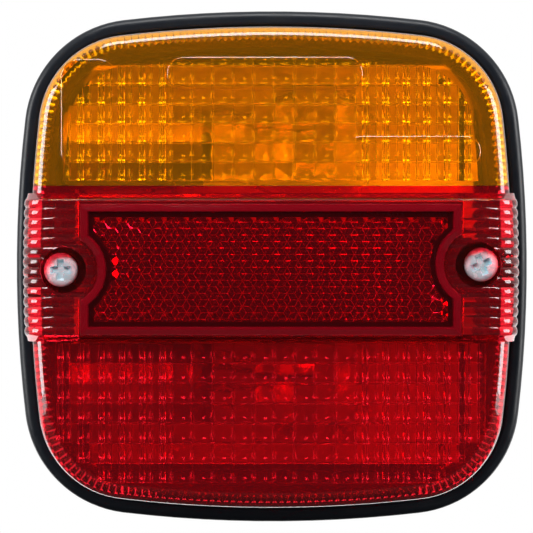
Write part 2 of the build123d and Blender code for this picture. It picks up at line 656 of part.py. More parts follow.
# Window for the reflex reflector, as a cutter
with BuildPart() as window_cutter:
    with BuildSketch(front_plane(BAND_CEILING - 1)):
        add(panel_outline(WINDOW_GAP))
    extrude(amount=BAND_DEPTH - BAND_CEILING + 3)
window = window_cutter.part

with BuildPart() as lens_shell:
    add(prism(SKIRT_INSET, SEAT_DEPTH, LENS_DEPTH, taper=LENS_TAPER))
    fillet(lens_shell.faces().sort_by(Axis.Y)[0].edges(), LENS_EDGE_RADIUS)
    add(prism(LIP_INSET, SEAT_DEPTH, SEAT_DEPTH + 1.2))
    with BuildPart(mode=Mode.ADD):
        with BuildSketch(front_plane(BEAD_DEPTH + 0.3)):
            add(bowed_square(BAND_INSET))
            Rectangle(4 * RIM_HALF, 2 * BAND_HALF, mode=Mode.INTERSECT)
        extrude(amount=BAND_DEPTH - BEAD_DEPTH - 0.3)
        band_front = faces().sort_by(Axis.Y)[0]
        end_edges = band_front.edges().sort_by(Axis.X)
        fillet([end_edges[0], end_edges[-1]], BAND_END_RADIUS)
        long_edges = faces().sort_by(Axis.Y)[0].edges().group_by(SortBy.LENGTH)[-1]
        chamfer(long_edges, BAND_CHAMFER_Z, 3.0)
    add(prism(SKIRT_INSET + LENS_WALL, SEAT_DEPTH, LENS_DEPTH - LENS_WALL, taper=LENS_TAPER), mode=Mode.SUBTRACT)
    pocket_x = PANEL_HALF_X + POCKET_OVERLAP
    pocket_z = (PANEL_LOW_Z - POCKET_OVERLAP, PANEL_HIGH_Z + POCKET_OVERLAP)
    add(block((-pocket_x, pocket_x), (LENS_DEPTH - LENS_WALL - 1, BAND_CEILING), pocket_z), mode=Mode.SUBTRACT)
    for side in (-1, 1):
        boss = round_bar(side * RECESS_X, staggered(side), LENS_BOSS_RADIUS, LENS_BOSS_FOOT, BAND_DEPTH - 1)
        add(boss)
        recess = round_bar(side * RECESS_X, staggered(side), RECESS_RADIUS, RECESS_FLOOR, BAND_DEPTH + 2)
        add(recess, mode=Mode.SUBTRACT)
        hole = round_bar(side * SCREW_X, staggered(side), SHANK_HOLE_RADIUS, LENS_BOSS_FOOT - 1, BAND_DEPTH)
        add(hole, mode=Mode.SUBTRACT)
    add(window, mode=Mode.SUBTRACT)

with BuildPart() as lens_amber:
    add(lens_shell.part)
    split(bisect_by=Plane.XY.offset(SEAM_Z), keep=Keep.TOP)
    inside = SKIRT_INSET + LENS_WALL - 0.5
    with BuildPart(mode=Mode.ADD):
        add(prism(inside, SEAM_RIB_DEPTH, LENS_DEPTH - 1, taper=LENS_TAPER))
        add(block((-60, 60), (20, 45), (SEAM_Z, SEAM_Z + SEAM_RIB)), mode=Mode.INTERSECT)
save(lens_amber.part, "lens_amber")

with BuildPart() as lens_red:
    add(lens_shell.part)
    split(bisect_by=Plane.XY.offset(SEAM_Z), keep=Keep.BOTTOM)
    for side in (-1, 1):
        for number in range(RIB_COUNT):
            add(band_rib(side, number))
    for side in (-1, 1):
        add(round_bar(side * RECESS_X, staggered(side), RECESS_RADIUS, RECESS_FLOOR, BAND_DEPTH + 2),
            mode=Mode.SUBTRACT)
    add(window, mode=Mode.SUBTRACT)
save(lens_red.part, "lens_red")

with BuildPart() as reflex_reflector:
    with BuildSketch(front_plane(BAND_CEILING)):
        add(panel_outline(0))
    extrude(amount=PANEL_DEPTH - BAND_CEILING)
    chamfer(reflex_reflector.faces().sort_by(Axis.Y)[0].edges(), 0.4)
    with BuildSketch(front_plane(PANEL_FIELD_DEPTH)):
        add(panel_outline(-PANEL_BORDER))
    extrude(amount=PANEL_DEPTH - PANEL_FIELD_DEPTH + 1, mode=Mode.SUBTRACT)
save(reflex_reflector.part, "reflex_reflector")

with BuildPart() as reflex_backing:
    with BuildSketch(front_plane(BAND_CEILING - BACKING_THICKNESS)):
        add(panel_outline(BACKING_OVERLAP))
    extrude(amount=BACKING_THICKNESS)
save(reflex_backing.part, "reflex_backing")


# --- Lens screws and their O-rings ----------------------------------------------------------------------

ORING_RADIUS = 2.9
head_low = RECESS_FLOOR + ORING_THICKNESS

for label, side in (("left", -1), ("right", 1)):
    with BuildPart() as screw:
        with BuildSketch(Plane.XY):
            with BuildLine():
                ridges = int((THREAD_TOP - SCREW_TIP - 1) / THREAD_PITCH)
                outline = [(0, -SCREW_TIP), (THREAD_ROOT - 0.4, -SCREW_TIP), (THREAD_ROOT, -SCREW_TIP - 1)]
                for ridge in range(ridges):
                    foot = SCREW_TIP + 1 + ridge * THREAD_PITCH
                    outline += [
                        (THREAD_ROOT, -foot - 0.35),
                        (SHANK_RADIUS, -foot - 0.55),
                        (SHANK_RADIUS, -foot - 0.7),
                        (THREAD_ROOT, -foot - 0.9),
                    ]
                outline += [
                    (THREAD_ROOT, -THREAD_TOP),
                    (SHANK_RADIUS, -THREAD_TOP - 0.4),
                    (SHANK_RADIUS, -head_low),
                    (HEAD_RADIUS, -head_low),
                    (HEAD_RADIUS, -head_low - HEAD_HEIGHT * 0.45),
                ]
                Polyline(*outline)
                ThreePointArc(
                    (HEAD_RADIUS, -head_low - HEAD_HEIGHT * 0.45),
                    (HEAD_RADIUS * 0.78, -head_low - HEAD_HEIGHT * 0.86),
                    (0, -head_low - HEAD_HEIGHT),
                )
                Line((0, -head_low - HEAD_HEIGHT), (0, -SCREW_TIP))
            make_face()
        revolve(axis=Axis.Y)
        # Cross recess
        for turn in (0, 90):
            with BuildSketch(front_plane(head_low + 0.7)):
                Rectangle(2.2, 0.75, rotation=turn)
            with BuildSketch(front_plane(head_low + HEAD_HEIGHT + 0.2)):
                Rectangle(4.2, 0.95, rotation=turn)
            loft(mode=Mode.SUBTRACT)
    screw.part.position = (side * SCREW_X, 0, staggered(side))
    save(screw.part, f"lens_screw_{label}")

    with BuildPart() as oring:
        add(round_bar(side * SCREW_X, staggered(side), ORING_RADIUS, RECESS_FLOOR, head_low))
        fillet(oring.edges(), 0.4)
        add(round_bar(side * SCREW_X, staggered(side), SHANK_RADIUS + 0.05, RECESS_FLOOR - 1, head_low + 1),
            mode=Mode.SUBTRACT)
    save(oring.part, f"screw_oring_{label}")
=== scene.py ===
"""Looks of the square trailer tail light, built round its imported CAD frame.

Shapes are drawn in millimetres as (x, z, depth): x to the right, z up, depth forward from the mounting
face. The back of the lamp is at depth 0 and its front looks along -Y.
"""

import json
import math

import bmesh
import bpy
import numpy as np
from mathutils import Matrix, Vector


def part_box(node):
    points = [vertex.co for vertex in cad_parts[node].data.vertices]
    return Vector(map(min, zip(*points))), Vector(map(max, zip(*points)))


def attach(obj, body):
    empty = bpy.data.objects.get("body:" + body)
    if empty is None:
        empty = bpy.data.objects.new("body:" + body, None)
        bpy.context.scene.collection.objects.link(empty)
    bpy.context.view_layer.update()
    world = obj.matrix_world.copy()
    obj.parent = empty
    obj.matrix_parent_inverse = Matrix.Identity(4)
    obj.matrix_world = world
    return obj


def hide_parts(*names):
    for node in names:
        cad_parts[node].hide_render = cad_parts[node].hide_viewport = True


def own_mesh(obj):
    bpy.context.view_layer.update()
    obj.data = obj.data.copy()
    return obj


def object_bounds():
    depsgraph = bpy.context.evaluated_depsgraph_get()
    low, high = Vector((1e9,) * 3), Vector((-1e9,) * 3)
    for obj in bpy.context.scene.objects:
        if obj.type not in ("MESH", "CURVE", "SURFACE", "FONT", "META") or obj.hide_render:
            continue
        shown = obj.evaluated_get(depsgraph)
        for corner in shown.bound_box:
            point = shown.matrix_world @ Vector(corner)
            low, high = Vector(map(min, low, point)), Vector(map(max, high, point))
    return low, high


MM = 0.001

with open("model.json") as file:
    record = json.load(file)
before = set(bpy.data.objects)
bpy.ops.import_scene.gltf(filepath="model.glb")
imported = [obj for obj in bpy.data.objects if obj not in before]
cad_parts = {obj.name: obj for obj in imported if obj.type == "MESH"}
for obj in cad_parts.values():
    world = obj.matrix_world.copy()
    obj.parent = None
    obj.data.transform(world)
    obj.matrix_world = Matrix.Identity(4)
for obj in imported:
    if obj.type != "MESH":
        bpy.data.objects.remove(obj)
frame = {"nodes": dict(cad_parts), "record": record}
cad_low, cad_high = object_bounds()


# --- Driving dimensions --------------------------------------------------------------------------------


def span(node, axis):
    """Lowest and highest place of a CAD node along an axis, in millimetres; depths for axis "d"."""
    low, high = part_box(node)
    if axis == "d":
        return -high.y / MM, -low.y / MM
    index = {"x": 0, "z": 2}[axis]
    return low[index] / MM, high[index] / MM


RIM_HALF = 50.0
SIDE_RADIUS = 250.0
CORNER_RADIUS = 22.0

SEAT_DEPTH, LENS_DEPTH = span("lens_amber", "d")
BAND_DEPTH = 43.0
SEAM_Z = span("lens_amber", "z")[0]
SEAM_GAP = 0.03  # each lens keeps clear of the seam plane by this much
SKIRT_INSET = 3.55  # insets are measured inwards from the rim's outline
LIP_INSET = 3.2
LIP_HEIGHT = 1.2
LIP_BLUNT = 0.15
LENS_TAPER = math.tan(math.radians(2.5))
EDGE_RADIUS = 3.0
INNER_FACE = 37.8  # depth of the inside of the lens's front wall

CAVITY_INSET = 5.75  # inside of the skirt at its foot
FLUTE_FOOT = 20.0  # V flutes on the inside of the walls
FLUTE_PITCH = 1.35
FLUTE_RISE = 0.45
FLUTE_FOOT_INSET = 6.15
FLUTE_TOP_INSET = 7.0
OUTLINE_LENGTH = 318.0  # length of the fluted outline, for the flutes' count
STEP_DEPTH = 31.0  # where the wall thickens towards the front

BAND_HALF = 14.0
BAND_INSET = 3.5
BAND_FOOT = 18.6
BAND_CHAMFER_Z = 1.3
BAND_CHAMFER_DEPTH = 3.0
BAND_END_RADIUS = 4.5
RIB_COUNT = 14
RIB_PITCH = 1.86
RIB_RADIUS = 1.5
RIB_RISE = 0.32
RIB_INNER_X = 33.0
RIB_FADE = ((39.5, 0.75), (36.5, 0.45), (RIB_INNER_X + 0.4, 0.3))  # x, and the share of the ribs' rise there
BAND_CEILING = 40.3  # depth of the inside of the band's front wall

PANEL_X = span("reflex_reflector", "x")[1]
PANEL_LOW_Z, PANEL_HIGH_Z = span("reflex_reflector", "z")
PANEL_BACK, PANEL_DEPTH = span("reflex_reflector", "d")
PANEL_NOTCH_RADIUS = 6.6
FIELD_DEPTH = 43.1  # the reflector's face inside its raised frame
FRAME_WIDTH = 2.4  # plain border round the cube cells
BEVEL_WIDTH = 0.95
BEVEL_FALL = 0.22
FIELD_INSET = 1.3
CUBE_SPACING = 2.43  # across the flats of one corner-cube cell
CUBE_HEIGHT = 2.0
RIDGE_WIDTH = 0.055
WINDOW_GAP = 0.1  # between the reflector and the band round it

RECESS_X = 38.9
RECESS_RADIUS = 4.3
RECESS_FLOOR = span("screw_oring_left", "d")[0]
SCREW_X = 39.7
STAGGER = 0.5
BOSS_RADIUS = 5.6
BOSS_FOOT = 31.0
SHANK_HOLE_RADIUS = 2.1
POCKET_OVERLAP = 0.6

SHANK_RADIUS = 1.75
THREAD_ROOT = 1.35
THREAD_PITCH = 1.25
THREAD_TOP = 30.0
HEAD_LOW, HEAD_TOP = span("screw_oring_left", "d")[1], span("lens_screw_left", "d")[1]
HEAD_RADIUS = (span("lens_screw_left", "x")[1] - span("lens_screw_left", "x")[0]) / 2
SCREW_TIP = span("lens_screw_left", "d")[0]
LEFT_TURNED, RIGHT_TURNED = 0, 22  # how far each cross recess is turned, in degrees

BULB_DEPTH = sum(span("indicator_bulb_glass", "d")) / 2
TWIN_SPACING = 3.6  # contacts of the twin-filament bulb, either side of its axis
CONTACT_DEPTHS = {"indicator": (BULB_DEPTH,), "tail": (BULB_DEPTH - TWIN_SPACING, BULB_DEPTH + TWIN_SPACING)}
FILAMENTS = {"indicator": ((0.0, 0.0),), "tail": ((0.0, -1.3), (-3.0, 1.7))}  # x and depth of each coil
SPRING_RADII = {"indicator": 1.9, "tail": 1.35}
SPRING_WIRE = 0.3
SPRING_TURNS = 4
COIL_TURNS = 16
COIL_RADIUS = 0.3
COIL_WIRE = 0.07
COIL_HALF = 2.6
COIL_SAG = 0.25
LEAD_WIRE = 0.18
LEAD_HALF = 1.1  # half the spacing of the lead-in wires where they leave the cap
GLASS_BEAD_AT = 14.5  # the glass bead, from the back end of the lead-in wires
GLASS_BEAD_SIDES = 32

CELL_X = 3.86  # optic grid
CELL_Z = 3.62
CELL_CENTRE_X = 0.6
CELL_REACH = 41.0
PLAIN_X = (-18.9, 16.2)  # the cells between these have no extra beads
AMBER_BLOCK_INSET = 10.3
AMBER_BLOCK_FOOT = SEAM_Z + 0.9
RED_CELL_Z = 3.78
RED_TOP_Z = -14.3
RED_LOW_Z = -42.0
RED_HALF_WIDTH = 40.6
RED_STEPS = ((5, 36.7), (1, 33.0), (1, 0))  # rows of cells, and the half width of the next rows
PILLOW_RISE = 0.36
BEAD_HALF = 0.2  # half width of the bead between two cells
FLUTE_MARKS = (0.36, 0.56)  # extra beads in each outer cell, as shares of its width
OPTIC_GROOVE = 37.75  # depth of the grooves between pillows
OPTIC_ROOT = 38.6  # how deep the optic block is sunk in the lens wall

# Blank pads on the amber lens: name, x range, z range and corner radius
PADS = (
    ("top_pad", (-19.5, 17.3), (33.4, 39.6), 3.0),
    ("right_pad", (14.0, 39.5), (18.9, 24.7), 2.8),
    ("left_pad", (-39.5, -29.0), (18.4, 39.2), 3.4),
)

BEYOND_X = (-60, 60)  # a cutting box's ranges, past the lens
BEYOND_Z = 60
BEYOND_DEPTH = (10, 50)

LENS_SHARP = 22  # edges that turn by more degrees than these stay crisp
PANEL_SHARP = 12
SCREW_SHARP = 30
WIRE_SHARP = 50

SATIN = 0.12  # roughness of the moulded optics
POLISHED = 0.01
SATIN_HALF = 0.6  # the satin reaches this far either side of the optics' middle depth
ACRYLIC_IOR = 1.49
CLOUD_DEPTH = FIELD_DEPTH + 0.05  # the reflector's frame, in front of this, is cloudier than its field
FIELD_CLEAR, FRAME_CLEAR = 0.98, 0.9


# --- Meshes ----------------------------------------------------------------------------------------------

side_shift = SIDE_RADIUS - RIM_HALF  # from the lamp's axis back to a side arc's centre
corner_centre = (math.sqrt(2 * (SIDE_RADIUS - CORNER_RADIUS) ** 2 - side_shift**2) - side_shift) / 2
side_angle = math.atan2(corner_centre, corner_centre + side_shift)


def outline(inset, angle):
    """x and z of the lamp's outline, drawn in by inset, where its outward normal points at angle."""
    angle = np.asarray(angle, float)
    quarter = np.round(angle / (np.pi / 2)) * (np.pi / 2)
    local = angle - quarter
    on_side = np.abs(local) <= side_angle
    radius = np.where(on_side, SIDE_RADIUS, CORNER_RADIUS) - inset
    centre_x = np.where(on_side, -side_shift, corner_centre)
    centre_z = np.where(on_side, 0.0, np.sign(local) * corner_centre)
    x = centre_x + radius * np.cos(local)
    z = centre_z + radius * np.sin(local)
    return x * np.cos(quarter) - z * np.sin(quarter), x * np.sin(quarter) + z * np.cos(quarter)


def even_angles(inset, count):
    """Normal angles of count points spread evenly along the outline."""
    side = (SIDE_RADIUS - inset) * 2 * side_angle
    corner = (CORNER_RADIUS - inset) * (np.pi / 2 - 2 * side_angle)
    stops, angles = [0.0], [-side_angle]
    for quarter in range(4):
        stops += [stops[-1] + side, stops[-1] + side + corner]
        angles += [quarter * np.pi / 2 + side_angle, (quarter + 1) * np.pi / 2 - side_angle]
    return np.interp(np.arange(count) * stops[-1] / count, stops, angles)


def place(x, z, depth):
    """Points in the row frame, in metres, from x, z and depth in millimetres."""
    x, z, depth = np.broadcast_arrays(x, z, depth)
    return np.stack([x, -depth, z], axis=-1).reshape(-1, 3) * MM


def new_object(name, points, faces):
    """A mesh object in the scene, with its faces' normals outwards."""
    mesh = bpy.data.meshes.new(name)
    mesh.from_pydata([tuple(p) for p in points], [], faces)
    made = bpy.data.objects.new(name, mesh)
    bpy.context.scene.collection.objects.link(made)
    body = bmesh.new()
    body.from_mesh(mesh)
    bmesh.ops.recalc_face_normals(body, faces=body.faces)
    body.to_mesh(mesh)
    body.free()
    return made


def rings(name, levels):
    """A closed solid through rings of points, each (x, z, depth), with flat ends."""
    count = len(levels[0][0])
    points = np.concatenate([place(*level) for level in levels])
    faces = []
    for level in range(len(levels) - 1):
        low, high = level * count, (level + 1) * count
        for i in range(count):
            j = (i + 1) % count
            faces.append((low + i, low + j, high + j, high + i))
    faces.append(tuple(range(count)))
    faces.append(tuple(range((len(levels) - 1) * count, len(levels) * count)))
    return new_object(name, points, faces)


def extruded(name, corners, low, high):
    """A prism on a plan of (x, z) corners, between two depths."""
    x, z = np.array(corners, float).T
    return rings(name, [(x, z, np.full(len(x), low)), (x, z, np.full(len(x), high))])


def rod(name, x, z, radius, low, high, count=72):
    """A cylinder along the depth axis."""
    turn = np.linspace(0, 2 * np.pi, count, endpoint=False)
    return extruded(name, list(zip(x + radius * np.cos(turn), z + radius * np.sin(turn))), low, high)


def box(name, x, z, depth):
    """A box from its ranges."""
    corners = [(x[0], z[0]), (x[1], z[0]), (x[1], z[1]), (x[0], z[1])]
    return extruded(name, corners, *depth)


def height_field(name, xs, zs, back, front):
    """A closed solid over a grid, flat at depth front, with its other side at the depths in back."""
    columns, rows = len(xs), len(zs)
    grid_x, grid_z = np.meshgrid(xs, zs)
    points = [place(grid_x, grid_z, back), place(grid_x, grid_z, front)]
    total = columns * rows
    faces = []
    for row in range(rows - 1):
        for column in range(columns - 1):
            a = row * columns + column
            faces.append((a, a + 1, a + columns + 1, a + columns))
            b = a + total
            faces.append((b, b + columns, b + columns + 1, b + 1))
    rim = list(range(columns))
    rim += [row * columns + columns - 1 for row in range(1, rows)]
    rim += [(rows - 1) * columns + column for column in range(columns - 2, -1, -1)]
    rim += [row * columns for row in range(rows - 2, 0, -1)]
    for i, a in enumerate(rim):
        b = rim[(i + 1) % len(rim)]
        faces.append((a, a + total, b + total, b))
    return new_object(name, np.concatenate(points), faces)


def tube(name, path, radius, sides=10):
    """A round wire along a path of points in metres, closed at both ends."""
    path = np.array(path, float)
    along = np.gradient(path, axis=0)
    along /= np.linalg.norm(along, axis=1)[:, None]
    across = np.cross(along[0], [0.3, 0.5, 0.8])
    turn = np.linspace(0, 2 * np.pi, sides, endpoint=False)[:, None]
    points = []
    for centre, direction in zip(path, along):
        across = across - direction * np.dot(across, direction)
        across /= np.linalg.norm(across)
        third = np.cross(direction, across)
        points.append(centre + radius * MM * (np.cos(turn) * across + np.sin(turn) * third))
    faces = [tuple(range(sides)), tuple(range((len(path) - 1) * sides, len(path) * sides))]
    for low in range(0, (len(path) - 1) * sides, sides):
        for i in range(sides):
            j = (i + 1) % sides
            faces.append((low + i, low + j, low + sides + j, low + sides + i))
    return new_object(name, np.concatenate(points), faces)


def join(name, pieces):
    """Several pieces as one object."""
    whole = bmesh.new()
    for piece in pieces:
        whole.from_mesh(piece.data)
    mesh = bpy.data.meshes.new(name)
    whole.to_mesh(mesh)
    whole.free()
    for piece in pieces:
        used = piece.data
        bpy.data.objects.remove(piece)
        bpy.data.meshes.remove(used)
    made = bpy.data.objects.new(name, mesh)
    bpy.context.scene.collection.objects.link(made)
    return made


def combine(target, operation, *tools):
    """Adds tools to target, cuts them from it, or keeps what they share, and removes the tools."""
    for tool in tools:
        modifier = target.modifiers.new("combine", "BOOLEAN")
        modifier.solver = "MANIFOLD"
        modifier.operation = operation
        modifier.object = tool
        bpy.context.view_layer.update()
        graph = bpy.context.evaluated_depsgraph_get()
        result = bpy.data.meshes.new_from_object(target.evaluated_get(graph))
        target.modifiers.clear()
        old = target.data
        target.data = result
        bpy.data.meshes.remove(old)
        used = tool.data
        bpy.data.objects.remove(tool)
        bpy.data.meshes.remove(used)
    return target


def finish_surface(made, sharp_degrees):
    """Smooth shading with crisp edges above an angle, and flats kept flat."""
    body = bmesh.new()
    body.from_mesh(made.data)
    bmesh.ops.remove_doubles(body, verts=body.verts, dist=2e-6)
    bmesh.ops.dissolve_degenerate(body, edges=body.edges, dist=1e-6)
    body.to_mesh(made.data)
    body.free()
    made.data.polygons.foreach_set("use_smooth", [True] * len(made.data.polygons))
    made.data.set_sharp_from_angle(angle=math.radians(sharp_degrees))
    weighted = made.modifiers.new("flats", "WEIGHTED_NORMAL")
    weighted.keep_sharp = True
    weighted.weight = 80
    bpy.context.view_layer.update()
    graph = bpy.context.evaluated_depsgraph_get()
    result = bpy.data.meshes.new_from_object(made.evaluated_get(graph))
    made.modifiers.clear()
    made.data = result
    return made


# --- Lens shell ------------------------------------------------------------------------------------------

SHELL_POINTS = 480
SHELL_SPREAD_INSET = 6.0  # the points are spread evenly along the outline at this inset


def wall_inset(depth):
    """Inset of the lens's tapered outer wall at a depth."""
    return SKIRT_INSET + (depth - SEAT_DEPTH) * LENS_TAPER


def ring_at(inset, depth, angles):
    """The outline at an inset and a depth."""
    x, z = outline(inset, angles)
    return x, z, np.full(len(angles), float(depth))


def outer_solid(name):
    """The whole lens unit filled up: lip, tapered wall, rounded edge and flat front."""
    angles = even_angles(SHELL_SPREAD_INSET, SHELL_POINTS)
    centre_depth = LENS_DEPTH - EDGE_RADIUS
    tilt = math.atan(LENS_TAPER)
    centre_inset = wall_inset(centre_depth) + EDGE_RADIUS / math.cos(tilt)
    levels = [
        (LIP_INSET, SEAT_DEPTH),
        (LIP_INSET, SEAT_DEPTH + LIP_HEIGHT - LIP_BLUNT),
        (LIP_INSET + LIP_BLUNT, SEAT_DEPTH + LIP_HEIGHT),
        (wall_inset(SEAT_DEPTH + LIP_HEIGHT), SEAT_DEPTH + LIP_HEIGHT),
    ]
    for arc in np.linspace(tilt, np.pi / 2, 14):
        inset = centre_inset - EDGE_RADIUS * math.cos(arc)
        levels.append((inset, centre_depth + EDGE_RADIUS * math.sin(arc)))
    return rings(name, [ring_at(inset, depth, angles) for inset, depth in levels])


def cavity_solid(name):
    """The hollow inside the lens: a plain skirt, then walls with V flutes that stop short of the band."""
    pitch_count = round(OUTLINE_LENGTH / FLUTE_PITCH)
    angles = even_angles(FLUTE_FOOT_INSET, pitch_count * 2)
    zigzag = np.where(np.arange(len(angles)) % 2 == 0, 0.5, -0.5) * FLUTE_RISE
    zigzag[np.abs(outline(FLUTE_FOOT_INSET, angles)[1]) < BAND_HALF] = 0.0
    levels = []
    for inset, depth, flute in (
        (CAVITY_INSET, SEAT_DEPTH - 1, 0),
        (CAVITY_INSET, FLUTE_FOOT, 0),
        (FLUTE_FOOT_INSET, FLUTE_FOOT + 0.3, 1),
        (FLUTE_FOOT_INSET + 0.1, STEP_DEPTH, 1),
        (FLUTE_TOP_INSET - 0.1, STEP_DEPTH + FLUTE_TOP_INSET - FLUTE_FOOT_INSET, 1),
        (FLUTE_TOP_INSET, INNER_FACE, 1),
    ):
        x, z = outline(inset + zigzag * flute, angles)
        levels.append((x, z, np.full(len(angles), depth)))
    return rings(name, levels)


# --- Optic blocks ---------------------------------------------------------------------------------------


def cushion_profile(edges, marks_in_cell):
    """Places along one axis of the grid, and how far cushions and beads stand out there."""
    marks = [edges[-1]]
    places = set()
    for low, high in zip(edges[:-1], edges[1:]):
        width = high - low
        marks += [low] + [low + share * width for share in marks_in_cell((low + high) / 2)]
        places.update(low + width * np.linspace(0, 1, 9))
    for mark in marks:
        places.update(mark + BEAD_HALF * np.array([-1.0, -0.86, -0.5, 0.0, 0.5, 0.86, 1.0]))
    places = np.array(sorted(round(place, 5) for place in places if edges[0] <= place <= edges[-1]))
    pitch = edges[1] - edges[0]
    share = ((places - edges[0]) / pitch) % 1.0
    rise = PILLOW_RISE * (1 - (2 * share - 1) ** 2)
    nearest = np.min(np.abs(places[:, None] - np.array(marks)[None, :]), axis=1)
    return places, rise + np.sqrt(np.clip(BEAD_HALF**2 - nearest**2, 0, None))


def extra_beads(middle):
    """Extra beads of the column of cells round x = middle, as shares of a cell's width."""
    if PLAIN_X[0] < middle < PLAIN_X[1]:
        return ()
    return FLUTE_MARKS if middle > 0 else [1 - share for share in FLUTE_MARKS]


def optic_block(name, z_edges, plan):
    """A block of cushions with beads between them, cut to the plan's (x, z) corners."""
    x_edges = grid_edges(CELL_CENTRE_X, CELL_X, -CELL_REACH, CELL_REACH)
    xs, rise_x = cushion_profile(x_edges, extra_beads)
    zs, rise_z = cushion_profile(z_edges, lambda middle: ())
    back = OPTIC_GROOVE - rise_z[:, None] - rise_x[None, :]
    block = height_field(name, xs, zs, back, OPTIC_ROOT)
    return combine(block, "INTERSECT", extruded("plan", plan, OPTIC_GROOVE - 3, OPTIC_ROOT + 1))


def grid_edges(centre, pitch, low, high):
    """Cell edges at a pitch from centre that cover low to high."""
    first = math.floor((low - centre) / pitch)
    last = math.ceil((high - centre) / pitch)
    return [centre + pitch * step for step in range(first, last + 1)]


def block_above(inset, low_z):
    """The amber optic block's plan: the lens outline drawn in, above a height."""
    x, z = outline(inset, even_angles(inset, 360))
    points = [(px, pz) for px, pz in zip(x, z) if pz > low_z]
    points.sort(key=lambda p: -math.atan2(p[1] - low_z, p[0]))
    return [(points[0][0], low_z), *points, (points[-1][0], low_z)]


def stepped_block():
    """The red optic block's plan, which narrows downwards in steps of whole cells."""
    corners, z = [(RED_HALF_WIDTH, RED_TOP_Z)], RED_TOP_Z
    for rows, next_half in RED_STEPS:
        z -= rows * RED_CELL_Z
        corners += [(corners[-1][0], z), (next_half, z)]
    return corners[:-1] + [(-x, z) for x, z in reversed(corners[:-1])]


def raised_pad(name, x, z, radius):
    """A low blank pad with round corners, standing on the lens's face."""
    turn = np.linspace(0, np.pi / 2, 9)
    levels = []
    for inset, depth in ((0.0, LENS_DEPTH - 0.3), (0.0, LENS_DEPTH + 0.08), (0.12, LENS_DEPTH + 0.14)):
        corners = []
        for quarter, (side_x, side_z) in enumerate(((1, 1), (-1, 1), (-1, -1), (1, -1))):
            centre_x = x[(side_x + 1) // 2] - side_x * radius
            centre_z = z[(side_z + 1) // 2] - side_z * radius
            angle = turn + quarter * np.pi / 2
            bend = radius - inset
            corners.append((centre_x + bend * np.cos(angle), centre_z + bend * np.sin(angle)))
        pad_x, pad_z = np.concatenate(corners, axis=1)
        levels.append((pad_x, pad_z, np.full(len(pad_x), depth)))
    return rings(name, levels)


amber_lens = outer_solid("lens_amber_moulding")
combine(amber_lens, "DIFFERENCE", cavity_solid("cavity"))
combine(amber_lens, "INTERSECT", box("half", BEYOND_X, (SEAM_Z + SEAM_GAP, BEYOND_Z), BEYOND_DEPTH))
amber_rows = grid_edges(AMBER_BLOCK_FOOT, CELL_Z, AMBER_BLOCK_FOOT, CELL_REACH)
amber_plan = block_above(AMBER_BLOCK_INSET, AMBER_BLOCK_FOOT)
combine(amber_lens, "UNION", optic_block("optic", amber_rows, amber_plan))
combine(amber_lens, "UNION", *[raised_pad(*pad) for pad in PADS])


def band_solid(name):
    """The raised band: a profile over the front and round both ends, swept up through the ribs."""
    plateau = BAND_HALF - BAND_CHAMFER_Z
    ribs_z = (np.arange(RIB_COUNT) - (RIB_COUNT - 1) / 2) * RIB_PITCH
    heights = [-BAND_HALF]
    for z in ribs_z:
        heights += list(z + np.linspace(-0.5, 0.5, 9)[:-1] * RIB_PITCH)
    heights += [ribs_z[-1] + RIB_PITCH / 2, BAND_HALF]
    heights = np.array(sorted(set(np.round(heights, 5))))
    levels = []
    for z in heights:
        off = min(np.min(np.abs(z - ribs_z)), RIB_PITCH / 2)
        rise = RIB_RISE - RIB_RADIUS + math.sqrt(RIB_RADIUS**2 - off**2)
        front = BAND_DEPTH - BAND_CHAMFER_DEPTH * max(0.0, abs(z) - plateau) / BAND_CHAMFER_Z
        end = RIM_HALF - BAND_INSET - z * z / (2 * SIDE_RADIUS)
        profile = [(end + rise, BAND_FOOT)]
        for arc in np.linspace(0, np.pi / 2, 12):
            radius = BAND_END_RADIUS + rise
            profile.append((end - BAND_END_RADIUS + radius * math.cos(arc),
                            front - BAND_END_RADIUS + radius * math.sin(arc)))
        profile += [(x, front + rise * share) for x, share in RIB_FADE]
        profile.append((RIB_INNER_X, front))
        half = np.array(profile)
        xs = np.concatenate([half[:, 0], -half[::-1, 0]])
        depths = np.concatenate([half[:, 1], half[::-1, 1]])
        levels.append((xs, np.full(len(xs), z), depths))
    return rings(name, levels)


def panel_plan(grow):
    """The reflector's outline as (x, z) corners, grown by some millimetres."""
    half, low, high = PANEL_X + grow, PANEL_LOW_Z - grow, PANEL_HIGH_Z + grow
    radius = PANEL_NOTCH_RADIUS - grow
    points = []
    for side in (1, -1):
        centre_x, centre_z = side * RECESS_X, side * STAGGER
        reach = math.acos((RECESS_X - half) / radius)
        arc = np.linspace(side * reach, -side * reach, 33)
        bite = [(centre_x - side * radius * math.cos(a), centre_z - radius * math.sin(a)) for a in arc]
        ends = (low, high) if side > 0 else (high, low)
        points += [(side * half, ends[0]), *bite, (side * half, ends[1])]
    return points


red_lens = outer_solid("lens_red_moulding")
combine(red_lens, "UNION", band_solid("band"))
combine(red_lens, "DIFFERENCE", cavity_solid("cavity"))
pocket_x = PANEL_X + POCKET_OVERLAP
combine(red_lens, "DIFFERENCE", box(
    "pocket", (-pocket_x, pocket_x), (PANEL_LOW_Z - POCKET_OVERLAP, PANEL_HIGH_Z + POCKET_OVERLAP),
    (INNER_FACE - 1, BAND_CEILING)))
for side in (-1, 1):
    recess_at = (side * RECESS_X, side * STAGGER)
    combine(red_lens, "UNION", rod("boss", *recess_at, BOSS_RADIUS, BOSS_FOOT, BAND_DEPTH - 1))
    combine(red_lens, "DIFFERENCE",
            rod("recess", *recess_at, RECESS_RADIUS, RECESS_FLOOR, BAND_DEPTH + 2),
            rod("hole", side * SCREW_X, side * STAGGER, SHANK_HOLE_RADIUS, BOSS_FOOT - 1, BAND_DEPTH))
